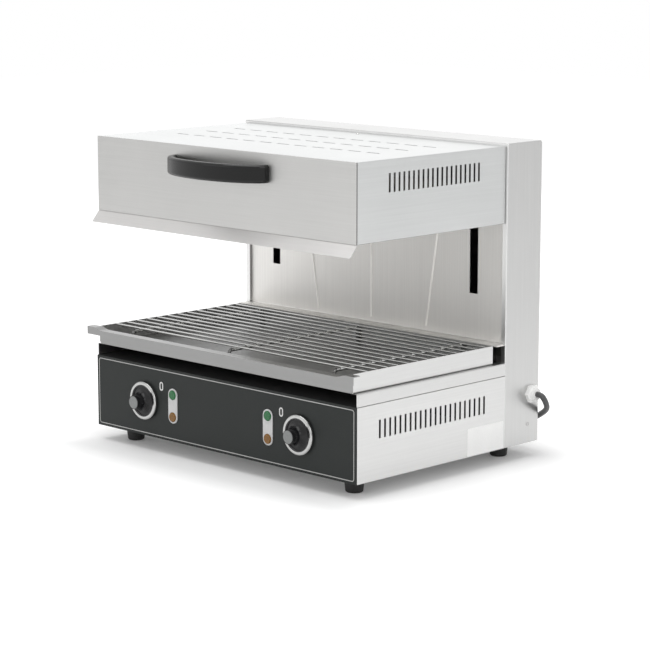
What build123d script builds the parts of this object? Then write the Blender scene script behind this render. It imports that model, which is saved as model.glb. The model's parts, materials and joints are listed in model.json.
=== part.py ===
from build123d import *
import math
import os

# Electric lift salamander grill, in millimetres: X to the right, Y to the back, Z up, floor at zero.

# Main sizes
body_width = 580.0
body_depth = 412.6
base_height = 113.6
deck_height = 20.4
column_height = 472.9
column_depth = 81.4
sheet = 1.2
bend_radius = 2.0
overrun = 5.0
running_gap = 0.3
fit_gap = 0.05
seam_gap = 0.6

# Feet
foot_height = 24.4
foot_top_radius = 16.0
foot_low_radius = 13.4
foot_edge = 1.5
foot_screw_radius = 5.0
foot_screw_depth = 11.0
foot_inset_x = 44.0
foot_inset_front = 42.0
foot_inset_back = 43.6

# Base side panels and their vents
base_flange = 15.0
base_vent_count = 22
base_vent_pitch = 11.05
base_vent_first = 49.8
base_vent_low = 62.0
base_vent_height = 27.6
vent_width = 4.0

# Deck under the tray
deck_lip = 14.0

# Front panel with knobs and lamps
panel_thickness = 2.0
knob_inset = 116.0
knob_rise = 56.8
shaft_hole_radius = 5.0
lamp_from_knob = 67.0
green_rise = 75.0
amber_rise = 39.8
lamp_plate_width = 20.4
lamp_plate_height = 55.5
lamp_plate_thickness = 1.5
lens_radius = 7.7
lens_reach = 3.4
lens_edge = 1.2
lamp_body_radius = 4.5
lamp_body_depth = 16.0

# Knobs, seen along their own axis from the panel outwards
knob_lift = 1.0
ring_radius = 30.8
ring_inner_radius = 23.2
ring_depth = 5.2
ring_round = 2.4
skirt_depth = 3.0
grip_foot_reach = 11.5
grip_foot_radius = 11.8
grip_radius = 10.9
grip_reach = 24.4
cap_radius = 9.8
cap_recess = 1.0
cap_depth = 1.4
shaft_radius = 3.0
shaft_in_knob = 12.0
shaft_in_body = 14.0
thermostat_width = 40.0
thermostat_height = 36.0
thermostat_depth = 30.0
thermostat_round = 3.0

# Terminal block on the base floor
block_length = 90.0
block_width = 28.0
block_height = 24.0
block_ways = 5
block_slot_share = 0.62
block_slot_depth = 9.0
block_x = 150.0
block_from_back = 130.0

# Column shell, wall and cover
column_return = 9.0
cover_flange = 14.0
cover_inset = 1.0
wall_setback = 4.5
ledge_depth = 19.5
ledge_height = 29.0
slot_offset = 219.5
slot_width = 17.0
slot_low = 100.5
slot_high = 322.0
bead_radius = 1.9
bead_proud = 1.5
bead_low = 8.0
bead_high = 300.0
bead_spread_low = 120.0
bead_spread_high = 165.0

# Lift mechanism inside the column
lift_travel = 135.0
rod_radius = 6.0
rod_offset = 160.0
rod_from_wall = 24.0
low_beam_rise = 29.6
beam_thickness = 4.0
beam_from_wall = 4.0
beam_flange = 22.0
rod_end = 3.0
low_beam_depth = 36.0
top_beam_drop = 12.0
top_beam_depth = 62.0
pulley_offset = 96.0
pulley_pitch_radius = 15.0
pulley_rim_height = 4.0
pulley_width = 9.0
pulley_groove = 4.4
axle_radius = 4.0
axle_drop = 25.0
cheek_thickness = 3.0
cheek_width = 22.0
cheek_gap = 0.5
cheek_foot = 8.0
rope_radius = 1.5
weight_width = 380.0
weight_height = 160.0
weight_thickness = 22.0
weight_rise = 15.6
weight_from_cover = 3.5
weight_lug_width = 24.0
weight_lug_height = 12.0
guide_flange = 12.0
guide_gap = 1.0
guide_margin = 12.0

# Carriage behind the wall and the arms that carry the hood
carriage_thickness = 5.0
carriage_from_wall = 5.0
carriage_half_width = 236.0
carriage_rise = 9.4
carriage_height = 70.0
carriage_window_width = 180.0
carriage_window_share = 0.45
housing_width = 32.0
housing_depth = 30.0
bush_radius = 9.0
bush_length = 20.0
lug_width = 16.0
lug_thickness = 4.0
lug_rise = 14.0
lug_reach = 24.0
arm_thickness = 9.0
arm_low = 26.0
arm_high = 96.0
arm_inner_low = 72.0
arm_reach = 250.0
arm_nose = 10.0

# Hood
hood_width = 571.0
hood_height = 118.5
hood_top_step = 4.2
hood_setback = 4.0
hood_gap = 0.6
hood_flange = 14.0
front_thickness = 1.5
front_edge = 0.7
hood_vent_count = 20
hood_vent_pitch = 10.3
hood_vent_first = 69.2
hood_vent_low = 70.3
hood_vent_height = 28.0
top_vent_rows = 3
top_vent_columns = 12
top_vent_length = 26.0
top_vent_pitch_x = 38.0
top_vent_pitch_y = 62.0
top_vent_back = 150.0
visor_forward = 14.0
visor_drop = 17.4
visor_flange = 9.0
visor_step = 1.0
visor_side_gap = 2.0

# Reflector, insulation and heating elements
reflector_margin = 3.5
reflector_wall = 11.0
reflector_taper = 9.0
reflector_height = 36.0
insulation_height = 24.0
insulation_margin = 8.0
element_radius = 4.0
element_runs = 4
element_side_gap = 38.8
element_centre_gap = 33.0
element_front = 46.0
element_back = 292.0
element_rise = 15.0
element_tail = 16.0
support_thickness = 1.5
support_height = 18.0
support_places_shares = (0.25, 0.75)

# Handle
handle_half_length = 107.0
handle_bow = 46.0
handle_thickness = 12.0
handle_height = 27.5
handle_round = 4.5
handle_rise = 74.4

# Drip tray and rack
tray_half_width = 283.0
tray_length = 309.0
tray_height = 28.6
tray_lip_half_width = 297.0
tray_lip_forward = 14.0
tray_lip_height = 12.5
tray_scoop = 4.2
tray_scoop_run = 22.0
tray_notch_radius = 3.0
rack_rod_radius = 1.6
rack_rod_count = 13
rack_rod_pitch = 22.0
rack_first = 34.0
rack_side_gap = 1.4
rack_bar_radius = 2.5
rack_bar_offset = 225.0
rack_leg_front = 21.0
rack_leg_back = 304.5
rack_leg_bend = 4.0
rack_weld_gap = 0.05
rack_top_above_tray = 0.6

# Gland, cord and plug
cord_radius = 4.5
gland_back = 18.6
gland_height = 77.6
gland_hex = 26.0
gland_hex_depth = 6.0
gland_cap_radius = 9.5
gland_cap_depth = 6.0
gland_cap_flare = 1.2
gland_thread_radius = 9.9
gland_thread_depth = 8.0
gland_hole_radius = 10.0
cord_bend_share = 0.45
cord_points = [
    (302.0, 208.7, 102.0),
    (310.5, 208.7, 102.0),
    (317.0, 212.5, 96.5),
    (317.5, 221.5, 85.5),
    (309.0, 233.0, 73.0),
    (291.0, 243.0, 61.5),
    (265.5, 249.5, 49.5),
    (236.0, 253.5, 36.0),
    (206.0, 254.0, 21.5),
    (178.0, 250.5, 10.0),
    (152.0, 247.5, 5.9),
    (128.0, 247.5, 5.9),
]
coil_turns = 4
coil_pitch = 9.7
coil_inner_radius = 44.6
coil_tail = 58.0
coil_climb_turns_share = 0.5
coil_arcs_per_turn = 4
coil_step_share = 0.001
coil_skip_share = 0.1
coil_samples = 600
parallel_share = 1e-9
tie_thickness = 0.9
tie_width = 10.0
tie_gap = 0.4
plug_width = 34.0
plug_length = 42.0
plug_round = 5.0
plug_relief_length = 24.0
plug_relief_radius = 7.5
plug_relief_wall = 1.2
plug_pin_radius = 2.4
plug_pin_spacing = 19.0
plug_pin_length = 19.0

# Places worked out from the sizes
half = body_width / 2
handle_reach = handle_bow - hood_setback
front = (handle_reach - body_depth) / 2
back = front + body_depth
column_front = back - column_depth
base_low = foot_height
deck_low = base_low + base_height
deck_top = deck_low + deck_height
column_top = base_low + column_height
panel_top = deck_low + sheet
panel_back = front + panel_thickness
inner_half = half - sheet
wall_front = column_front + wall_setback
wall_back = wall_front + sheet
cover_front = back - sheet
ledge_top = deck_top + ledge_height
hood_top = column_top - hood_top_step
hood_low = hood_top - hood_height
hood_half = hood_width / 2
hood_front_y = front + hood_setback
hood_shell_front = hood_front_y + front_thickness + seam_gap
hood_back_y = column_front - hood_gap
rod_y = wall_back + rod_from_wall
beam_front = wall_back + beam_from_wall
rod_low = deck_top + low_beam_rise
weight_low = base_low + weight_rise
top_beam_high = column_top - top_beam_drop
top_beam_low = top_beam_high - beam_thickness
axle_z = top_beam_low - axle_drop
rope_front_y = rod_y + rod_radius
axle_y = rope_front_y + pulley_pitch_radius
rope_back_y = axle_y + pulley_pitch_radius
pulley_rim_radius = pulley_pitch_radius + pulley_rim_height
weight_back = cover_front - weight_from_cover
weight_front = weight_back - weight_thickness
carriage_front = wall_back + carriage_from_wall
carriage_low = hood_low + carriage_rise
carriage_back = carriage_front + carriage_thickness
carriage_top = carriage_low + carriage_height
tray_low = deck_top + running_gap
tray_top = tray_low + tray_height
tray_floor = tray_low + sheet
rack_top = tray_top + rack_top_above_tray
rack_rod_z = rack_top - rack_rod_radius
rack_bar_z = rack_rod_z - rack_rod_radius - rack_bar_radius - rack_weld_gap
reflector_low = hood_low + sheet
reflector_top = reflector_low + reflector_height
element_z = hood_low + element_rise
knob_z = base_low + knob_rise
knob_offset = half - knob_inset
lamp_offset = knob_offset - lamp_from_knob
reflector_half = hood_half - sheet - reflector_margin - reflector_wall
element_reach = reflector_half - element_side_gap - element_centre_gap
element_pitch = element_reach / (element_runs - 1)


def block(x_low, x_high, y_low, y_high, z_low, z_high):
    # A box between two opposite corners
    size = (x_high - x_low, y_high - y_low, z_high - z_low)
    middle = ((x_low + x_high) / 2, (y_low + y_high) / 2, (z_low + z_high) / 2)
    return Pos(*middle) * Box(*size)


def along_x(outline, x_low, x_high):
    # Outline drawn in Y and Z, pushed out along X
    return Pos(x_low, 0, 0) * extrude(Plane.YZ * outline, amount=x_high - x_low, dir=(1, 0, 0))


def along_y(outline, y_low, y_high):
    # Outline drawn in X and Z, pushed out along Y
    return Pos(0, y_low, 0) * extrude(Plane.XZ * outline, amount=y_high - y_low, dir=(0, 1, 0))


def along_z(outline, z_low, z_high):
    # Outline drawn in X and Y, pushed out along Z
    return Pos(0, 0, z_low) * extrude(outline, amount=z_high - z_low, dir=(0, 0, 1))


def outline(*points):
    return Polygon(*points, align=None)


def folded(*points):
    # Section of a bent sheet: a line with rounded bends, and the sheet's thickness on its left
    line = FilletPolyline(*points, radius=bend_radius)
    return make_face(offset(line, amount=sheet, side=Side.LEFT, closed=True).edges())


def both_sides(solid):
    return [solid, mirror(solid, about=Plane.YZ)]


def round_bar(radius, start, end):
    # A straight round bar between two points
    axis = Vector(*end) - Vector(*start)
    return extrude(Plane(origin=start, z_dir=axis) * Circle(radius), amount=axis.length)


def turned(profile, place):
    # A profile of radius and reach, turned about an axis that points to the front
    ring = revolve(Plane.XZ * outline(*profile), Axis.Z)
    return Pos(*place) * Rot(90, 0, 0) * ring


def side_slots(count, pitch, first_y, low_z, height, x_low, x_high):
    # A row of upright slots, cut through a side wall
    slot = Rectangle(vent_width, height)
    places = [Pos(first_y + i * pitch, low_z + height / 2) for i in range(count)]
    return [along_x(place * slot, x_low, x_high) for place in places]


def make_feet():
    profile = [
        (0, 0),
        (foot_low_radius - foot_edge, 0),
        (foot_low_radius, foot_edge),
        (foot_top_radius, foot_height),
        (0, foot_height),
    ]
    foot = revolve(Plane.XZ * outline(*profile), Axis.Z)
    foot -= Pos(0, 0, foot_screw_depth / 2) * Cylinder(foot_screw_radius, foot_screw_depth)
    xs = (foot_inset_x - half, half - foot_inset_x)
    ys = (front + foot_inset_front, back - foot_inset_back)
    return [Pos(x, y, 0) * foot for x in xs for y in ys]


def make_base_floor():
    floor = block(-inner_half, inner_half, panel_back + sheet, cover_front, base_low, base_low + sheet)
    rim_top = base_low + base_flange
    floor += block(-inner_half, inner_half, panel_back + sheet, panel_back + 2 * sheet, base_low, rim_top)
    return [floor]


def make_base_side():
    corner = folded((half - base_flange, panel_back), (half, panel_back), (half, column_front))
    side = along_z(corner, base_low, deck_low)
    side -= side_slots(base_vent_count, base_vent_pitch, front + base_vent_first, base_low + base_vent_low,
                       base_vent_height, inner_half - overrun, half + overrun)
    return side


def make_tray_deck():
    lip_half = half - deck_lip
    section = folded((-lip_half, deck_top), (-half, deck_top), (-half, deck_low),
                     (half, deck_low), (half, deck_top), (lip_half, deck_top))
    return [along_y(section, panel_back, column_front)]


def make_front_panel():
    panel = block(-half, half, front, panel_back, base_low, panel_top)
    hole_low, hole_high = front - overrun, panel_back + overrun
    for side in (-1, 1):
        panel -= along_y(Pos(side * knob_offset, knob_z) * Circle(shaft_hole_radius), hole_low, hole_high)
        for rise in (green_rise, amber_rise):
            lamp_hole = Pos(side * lamp_offset, base_low + rise) * Circle(lamp_body_radius + fit_gap)
            panel -= along_y(lamp_hole, hole_low, hole_high)
    return [panel]


def make_lamp_plates():
    middle_z = base_low + (green_rise + amber_rise) / 2
    shape = Rot(0, 0, 90) * SlotOverall(lamp_plate_height, lamp_plate_width)
    for rise in (green_rise, amber_rise):
        shape -= Pos(0, base_low + rise - middle_z) * Circle(lens_radius + fit_gap)
    plate = along_y(Pos(lamp_offset, middle_z) * shape, front - lamp_plate_thickness, front)
    return both_sides(plate)


def make_lamps(rise):
    profile = [
        (0, -panel_thickness - lamp_body_depth),
        (lamp_body_radius, -panel_thickness - lamp_body_depth),
        (lamp_body_radius, 0),
        (lens_radius, 0),
        (lens_radius, lens_reach - lens_edge),
        (lens_radius - lens_edge, lens_reach),
        (0, lens_reach),
    ]
    lamp = turned(profile, (lamp_offset, front, base_low + rise))
    return both_sides(lamp)


def make_knob_ring(side):
    low, high = knob_lift, knob_lift + ring_depth
    inner = ring_inner_radius + fit_gap
    profile = outline((inner, low), (ring_radius, low), (ring_radius, high), (inner, high))
    rounded = fillet(profile.vertices().sort_by(Axis.Y)[-2:], ring_round)
    ring = revolve(Plane.XZ * rounded, Axis.Z)
    return Pos(side * knob_offset, front, knob_z) * Rot(90, 0, 0) * ring


def make_knob_grip(side):
    flare_start = (ring_inner_radius, knob_lift + skirt_depth)
    flare_end = (grip_foot_radius, grip_foot_reach)
    lines = [
        Line((shaft_radius + fit_gap, knob_lift), (ring_inner_radius, knob_lift)),
        Line((ring_inner_radius, knob_lift), flare_start),
        TangentArc(flare_start, flare_end, tangent=(-1, 0)),
        Line(flare_end, (grip_radius, grip_reach)),
        Line((grip_radius, grip_reach), (cap_radius + fit_gap, grip_reach)),
        Line((cap_radius + fit_gap, grip_reach), (cap_radius + fit_gap, grip_reach - cap_recess)),
        Line((cap_radius + fit_gap, grip_reach - cap_recess), (0, grip_reach - cap_recess)),
        Line((0, grip_reach - cap_recess), (0, knob_lift + shaft_in_knob)),
        Line((0, knob_lift + shaft_in_knob), (shaft_radius + fit_gap, knob_lift + shaft_in_knob)),
        Line((shaft_radius + fit_gap, knob_lift + shaft_in_knob), (shaft_radius + fit_gap, knob_lift)),
    ]
    grip = revolve(Plane.XZ * make_face(Wire(lines)), Axis.Z)
    return Pos(side * knob_offset, front, knob_z) * Rot(90, 0, 0) * grip


def make_knob_cap(side):
    low = grip_reach - cap_recess
    profile = [(0, low), (cap_radius, low), (cap_radius, low + cap_depth), (0, low + cap_depth)]
    return turned(profile, (side * knob_offset, front, knob_z))


def make_shaft(side):
    start = (side * knob_offset, panel_back + shaft_in_body, knob_z)
    end = (side * knob_offset, front - knob_lift - shaft_in_knob, knob_z)
    return round_bar(shaft_radius, start, end)


def make_thermostat(side):
    shape = RectangleRounded(thermostat_width, thermostat_height, thermostat_round)
    shape = Pos(side * knob_offset, knob_z) * shape
    body = along_y(shape, panel_back, panel_back + thermostat_depth)
    bore = Pos(side * knob_offset, knob_z) * Circle(shaft_radius + fit_gap)
    return body - along_y(bore, panel_back - overrun, panel_back + shaft_in_body)


def make_terminal_block():
    y_middle = back - block_from_back
    low = base_low + sheet
    body = block(block_x - block_length / 2, block_x + block_length / 2, y_middle - block_width / 2,
                 y_middle + block_width / 2, low, low + block_height)
    pitch = block_length / block_ways
    slot_half = pitch * block_slot_share / 2
    for i in range(block_ways):
        x_middle = block_x - block_length / 2 + (i + 0.5) * pitch
        body -= block(x_middle - slot_half, x_middle + slot_half,
                      y_middle - block_width, y_middle + block_width,
                      low + block_height - block_slot_depth, low + block_height + overrun)
    return [body]


def make_column_shell():
    depth = cover_front - column_front
    middle = Pos(0, column_front + depth / 2)
    low, roof = base_low + sheet, column_top - sheet
    outside = along_z(middle * RectangleRounded(body_width, depth, bend_radius), low, column_top)
    outside = fillet(outside.faces().sort_by(Axis.Z)[-1].edges(), bend_radius)
    bore = RectangleRounded(body_width - 2 * sheet, depth - 2 * sheet, bend_radius - sheet)
    inside = along_z(middle * bore, low - overrun, roof)
    shell = outside - fillet(inside.faces().sort_by(Axis.Z)[-1].edges(), bend_radius - sheet)
    mouth = half - column_return
    shell -= block(-mouth, mouth, column_front - overrun, column_front + sheet + overrun,
                   low - overrun, column_top - column_return)
    # A lip behind each front return closes the pocket before the wall
    for x_low, x_high in ((-mouth - sheet, -mouth), (mouth, mouth + sheet)):
        shell += block(x_low, x_high, column_front + sheet, wall_front - running_gap,
                       ledge_top + bend_radius + running_gap, roof)
    window = half - cover_flange
    shell -= block(-window, window, cover_front - sheet - overrun, cover_front + overrun,
                   low - overrun, column_top - cover_flange)
    for x_low, x_high in ((-half, -inner_half), (inner_half, half)):
        shell += block(x_low, x_high, column_front + bend_radius, cover_front - bend_radius, base_low, low)
    hole = Pos(back - gland_back, base_low + gland_height) * Circle(gland_hole_radius)
    return [shell - along_x(hole, inner_half - overrun, half + overrun)]


def make_column_cover():
    cover_half = half - cover_inset
    return [block(-cover_half, cover_half, cover_front, back,
                  base_low + cover_inset, column_top - bend_radius - cover_inset)]


def make_back_wall():
    high = column_top - sheet
    section = folded((wall_front, high), (wall_front, ledge_top), (column_front - ledge_depth, ledge_top))
    wall = along_x(section, -inner_half, inner_half)
    # The column's front returns pass in front of the wall, so the ledge is notched around them
    for side in (-1, 1):
        returns = sorted((side * (half - column_return - running_gap), side * half))
        wall -= block(returns[0], returns[1], column_front - running_gap, column_front + bend_radius,
                      ledge_top - sheet - overrun, ledge_top + bend_radius)
        slot = sorted((side * (slot_offset - slot_width / 2), side * (slot_offset + slot_width / 2)))
        wall -= block(slot[0], slot[1], wall_front - overrun, wall_back + overrun,
                      deck_top + slot_low, deck_top + slot_high)
    bead_y = wall_front + bead_radius - bead_proud
    low, top = ledge_top + bead_low, ledge_top + bead_high
    for share in (-1, 0, 1):
        start = (share * bead_spread_low, bead_y, low)
        end = (share * bead_spread_high, bead_y, top)
        bead = round_bar(bead_radius, start, end)
        wall += bead & block(-half, half, wall_front - overrun, wall_back, low - overrun, top + overrun)
    return [wall]


def make_low_beam():
    high = rod_low
    section = [
        (beam_front, high),
        (beam_front + low_beam_depth, high),
        (beam_front + low_beam_depth, high - beam_thickness),
        (beam_front + beam_thickness, high - beam_thickness),
        (beam_front + beam_thickness, high - beam_flange),
        (beam_front, high - beam_flange),
    ]
    beam = along_x(outline(*section), -inner_half, inner_half)
    for side in (-1, 1):
        hole = Pos(side * rod_offset, rod_y) * Circle(rod_radius + fit_gap)
        beam -= along_z(hole, high - beam_thickness - overrun, high + overrun)
    return [beam]


def make_top_beam():
    section = [
        (beam_front, top_beam_high), (beam_front + top_beam_depth, top_beam_high),
        (beam_front + top_beam_depth, top_beam_low), (beam_front, top_beam_low),
    ]
    beam = along_x(outline(*section), -inner_half, inner_half)
    for side in (-1, 1):
        hole = Pos(side * rod_offset, rod_y) * Circle(rod_radius + fit_gap)
        beam -= along_z(hole, top_beam_low - overrun, top_beam_high + overrun)
        for cheek in (-1, 1):
            inner = side * pulley_offset + cheek * (pulley_width / 2 + cheek_gap)
            outer = inner + cheek * cheek_thickness
            x_low, x_high = min(inner, outer), max(inner, outer)
            plate = block(x_low, x_high, axle_y - cheek_width / 2, axle_y + cheek_width / 2,
                          axle_z - cheek_foot, top_beam_low)
            bore = Pos(axle_y, axle_z) * Circle(axle_radius + fit_gap)
            beam += plate - along_x(bore, x_low - overrun, x_high + overrun)
    return [beam]


def make_guide_rods():
    low, high = rod_low - beam_thickness - rod_end, top_beam_high + rod_end
    rod = round_bar(rod_radius, (rod_offset, rod_y, low), (rod_offset, rod_y, high))
    return both_sides(rod)


def make_axles():
    reach = pulley_width / 2 + cheek_gap + cheek_thickness
    start = (pulley_offset - reach, axle_y, axle_z)
    end = (pulley_offset + reach, axle_y, axle_z)
    return both_sides(round_bar(axle_radius, start, end))


def make_pulley(side):
    groove_floor = pulley_pitch_radius - rope_radius - running_gap
    edge = pulley_width / 2
    bore = axle_radius + fit_gap
    profile = [
        (bore, -edge), (pulley_rim_radius, -edge), (pulley_rim_radius, -pulley_groove / 2 - running_gap),
        (groove_floor, -pulley_groove / 2), (groove_floor, pulley_groove / 2),
        (pulley_rim_radius, pulley_groove / 2 + running_gap), (pulley_rim_radius, edge), (bore, edge),
    ]
    wheel = Rot(0, 90, 0) * revolve(Plane.XZ * outline(*profile), Axis.Z)
    return Pos(side * pulley_offset, axle_y, axle_z) * wheel


def make_rope(side):
    x = side * pulley_offset
    rise = Line((x, rope_front_y, carriage_low + lug_rise + lug_thickness), (x, rope_front_y, axle_z))
    over = ThreePointArc((x, rope_front_y, axle_z), (x, axle_y, axle_z + pulley_pitch_radius),
                         (x, rope_back_y, axle_z))
    fall = Line((x, rope_back_y, axle_z), (x, rope_back_y, weight_low + weight_height + weight_lug_height))
    path = Wire([rise, over, fall])
    return sweep(Plane(origin=rise @ 0, z_dir=rise % 0) * Circle(rope_radius), path=path)


def make_counterweight():
    high = weight_low + weight_height
    weight = block(-weight_width / 2, weight_width / 2, weight_front, weight_back, weight_low, high)
    for side in (-1, 1):
        x = side * pulley_offset
        weight += block(x - weight_lug_width / 2, x + weight_lug_width / 2, weight_front, weight_back,
                        high, high + weight_lug_height)
    return [weight]


def make_weight_guides():
    # Angle strips on the rear cover, one each side of the weight
    x_in = weight_width / 2 + guide_gap
    section = [
        (x_in, weight_front), (x_in + sheet, weight_front), (x_in + sheet, cover_front - sheet),
        (x_in + guide_flange, cover_front - sheet), (x_in + guide_flange, cover_front), (x_in, cover_front),
    ]
    high = weight_low + weight_height + lift_travel + guide_margin
    return both_sides(along_z(outline(*section), weight_low, high))


def make_carriage():
    plate = block(-carriage_half_width, carriage_half_width, carriage_front, carriage_back,
                  carriage_low, carriage_top)
    window_half = carriage_height * carriage_window_share / 2
    middle = (carriage_low + carriage_top) / 2
    plate -= block(-carriage_window_width / 2 + lug_width, carriage_window_width / 2 - lug_width,
                   carriage_front - overrun, carriage_back + overrun,
                   middle - window_half, middle + window_half)
    for side in (-1, 1):
        x = side * rod_offset
        plate += block(x - housing_width / 2, x + housing_width / 2, carriage_back,
                       carriage_back + housing_depth, carriage_low, carriage_top)
        bore = Pos(x, rod_y) * Circle(bush_radius + fit_gap)
        plate -= along_z(bore, carriage_low - overrun, carriage_top + overrun)
        lug_x = side * pulley_offset
        lug_low = carriage_low + lug_rise
        plate += block(lug_x - lug_width / 2, lug_x + lug_width / 2, carriage_back, carriage_back + lug_reach,
                       lug_low, lug_low + lug_thickness)
    return [plate]


def make_bushes():
    ring = Circle(bush_radius) - Circle(rod_radius + fit_gap)
    bushes = []
    for x in (-rod_offset, rod_offset):
        for low in (carriage_low, carriage_top - bush_length):
            bushes.append(along_z(Pos(x, rod_y) * ring, low, low + bush_length))
    return bushes


def make_arms():
    arm_end = hood_back_y - arm_reach
    shape = [
        (carriage_front, hood_low + arm_low), (carriage_front, hood_low + arm_high),
        (arm_end, hood_low + arm_high), (arm_end, hood_low + arm_high - arm_nose),
        (hood_back_y - sheet - arm_nose, hood_low + arm_inner_low),
        (hood_back_y, hood_low + arm_inner_low), (hood_back_y, hood_low + arm_low),
    ]
    low = slot_offset - arm_thickness / 2
    return both_sides(along_x(outline(*shape), low, low + arm_thickness))


def make_hood_shell():
    flange = hood_half - hood_flange
    section = folded((flange, hood_low), (hood_half, hood_low), (hood_half, hood_top),
                     (-hood_half, hood_top), (-hood_half, hood_low), (-flange, hood_low))
    shell = along_y(section, hood_shell_front, hood_back_y)
    for side_x in (-hood_half, hood_half):
        shell -= side_slots(hood_vent_count, hood_vent_pitch, hood_front_y + hood_vent_first,
                            hood_low + hood_vent_low, hood_vent_height, side_x - overrun, side_x + overrun)
    places = GridLocations(top_vent_pitch_x, top_vent_pitch_y, top_vent_columns, top_vent_rows)
    slot = Rectangle(top_vent_length, vent_width)
    middle = Pos(0, hood_back_y - top_vent_back, 0)
    slots = [along_z(middle * place * slot, hood_top - overrun, hood_top + overrun) for place in places]
    return [shell - slots]


def make_hood_front():
    plate = block(-hood_half, hood_half, hood_front_y, hood_front_y + front_thickness, hood_low, hood_top)
    return [fillet(plate.faces().sort_by(Axis.Y)[0].edges(), front_edge)]


def make_hood_rear():
    inner = hood_half - bend_radius
    rear = block(-inner, inner, hood_back_y - sheet, hood_back_y, hood_low + sheet, hood_top - sheet)
    for side in (-1, 1):
        x = side * slot_offset
        reach = arm_thickness / 2 + running_gap
        rear -= block(x - reach, x + reach, hood_back_y - sheet - overrun, hood_back_y + overrun,
                      hood_low + arm_inner_low - running_gap, hood_low + arm_high + running_gap)
    return [rear]


def make_visor():
    y_flange = hood_front_y + front_thickness
    lip_y = hood_front_y - visor_forward
    lip_z = hood_low - visor_drop
    flare = [
        (y_flange, hood_low), (hood_front_y + visor_step, hood_low), (lip_y, lip_z),
        (lip_y + sheet, lip_z), (y_flange + sheet, hood_low - sheet), (y_flange + sheet, hood_low),
    ]
    visor = along_x(outline(*flare), -hood_half, hood_half)
    flange_half = hood_half - hood_flange - visor_side_gap
    visor += block(-flange_half, flange_half, y_flange, y_flange + sheet,
                   hood_low - sheet, hood_low + visor_flange)
    return [visor]


def reflector_shell(low_z, high_z, wall):
    # A tapered box, wide at its mouth, drawn in by the wall's distance
    x_mouth = reflector_half - wall
    y_front = hood_shell_front + reflector_margin + reflector_wall + wall
    y_back = hood_back_y - sheet - reflector_margin - reflector_wall - wall
    y_middle = (y_front + y_back) / 2
    mouth = Rectangle(2 * x_mouth, y_back - y_front)
    crown = Rectangle(2 * (x_mouth - reflector_taper), y_back - y_front - 2 * reflector_taper)
    return Pos(0, y_middle, 0) * loft([Pos(0, 0, low_z) * mouth, Pos(0, 0, high_z) * crown])


def make_reflector():
    rim_half = hood_half - sheet - reflector_margin
    y_front = hood_shell_front + sheet + reflector_margin
    y_back = hood_back_y - sheet - reflector_margin
    rim = block(-rim_half, rim_half, y_front, y_back, reflector_low, reflector_low + sheet)
    pan = rim + reflector_shell(reflector_low, reflector_top, 0)
    pan -= reflector_shell(reflector_low - sheet, reflector_top - sheet, sheet)
    for x in element_ends():
        hole = Pos(x, element_z) * Circle(element_radius + fit_gap)
        pan -= along_y(hole, front + element_back, y_back + overrun)
    return [pan]


def make_insulation():
    x_half = reflector_half - reflector_taper - insulation_margin
    y_front = hood_shell_front + reflector_margin + reflector_wall + reflector_taper + insulation_margin
    y_back = hood_back_y - sheet - reflector_margin - reflector_wall - reflector_taper - insulation_margin
    return [block(-x_half, x_half, y_front, y_back, reflector_top, reflector_top + insulation_height)]


def element_columns():
    # Places across the hood of one heating element's straight runs
    return [element_centre_gap + i * element_pitch for i in range(element_runs)]


def element_ends():
    ends = (element_columns()[0], element_columns()[-1])
    return [side * x for side in (-1, 1) for x in ends]


def make_element():
    # Straight runs joined by half-round bends at the front and the back in turn
    bend = element_pitch / 2
    y_front, y_back = front + element_front + bend, front + element_back - bend
    y_tail = hood_back_y - sheet - element_tail + reflector_wall
    columns = element_columns()
    pieces = []
    for i, x in enumerate(columns):
        y_end = y_tail if i in (0, element_runs - 1) else y_back
        pieces.append(round_bar(element_radius, (x, y_front, element_z), (x, y_end, element_z)))
    for i, x in enumerate(columns[:-1]):
        y, turn = (y_front, 1) if i % 2 == 0 else (y_back, -1)
        end = Plane(origin=(x, y, element_z), z_dir=(0, 1, 0)) * Circle(element_radius)
        pieces.append(revolve(end, Axis((x + bend, y, element_z), (0, 0, turn)), 180))
    return pieces[0].fuse(*pieces[1:])


def make_supports():
    # Upright strips with a hole for each run of the elements
    taper = reflector_taper * (element_rise + support_height / 2) / reflector_height
    x_half = reflector_half - sheet - taper - running_gap
    strip = Pos(0, element_z) * Rectangle(2 * x_half, support_height)
    for x in element_columns():
        for side in (-1, 1):
            strip -= Pos(side * x, element_z) * Circle(element_radius + fit_gap)
    span = element_back - element_front
    ys = [front + element_front + share * span for share in support_places_shares]
    return [along_y(strip, y, y + support_thickness) for y in ys]


def make_handle():
    outer = Ellipse(handle_half_length, handle_bow)
    inner = Ellipse(handle_half_length - handle_thickness, handle_bow - handle_thickness)
    bow = (outer - inner) & Pos(0, -handle_bow) * Rectangle(2 * handle_half_length + overrun, 2 * handle_bow)
    low = hood_low + handle_rise
    handle = Pos(0, hood_front_y, 0) * along_z(bow, low, low + handle_height)
    long_edges = [edge for edge in handle.edges() if edge.geom_type == GeomType.ELLIPSE]
    return [fillet(long_edges, handle_round)]


def scooped_face(half_width, low, drop):
    # A plate seen from the front, whose top edge dips between two short rises at its ends
    high = tray_top - drop
    dip = high - tray_scoop
    rise_out, rise_in = tray_half_width, tray_half_width - tray_scoop_run
    lines = [Line((-half_width, low), (half_width, low)), Line((half_width, low), (half_width, high))]
    if half_width > rise_out:
        lines.append(Line((half_width, high), (rise_out, high)))
    lines.append(Spline((rise_out, high), (rise_in, dip), tangents=[(-1, 0), (-1, 0)]))
    lines.append(Line((rise_in, dip), (-rise_in, dip)))
    lines.append(Spline((-rise_in, dip), (-rise_out, high), tangents=[(-1, 0), (-1, 0)]))
    if half_width > rise_out:
        lines.append(Line((-rise_out, high), (-half_width, high)))
    lines.append(Line((-half_width, high), (-half_width, low)))
    return make_face(Wire(lines))


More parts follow.
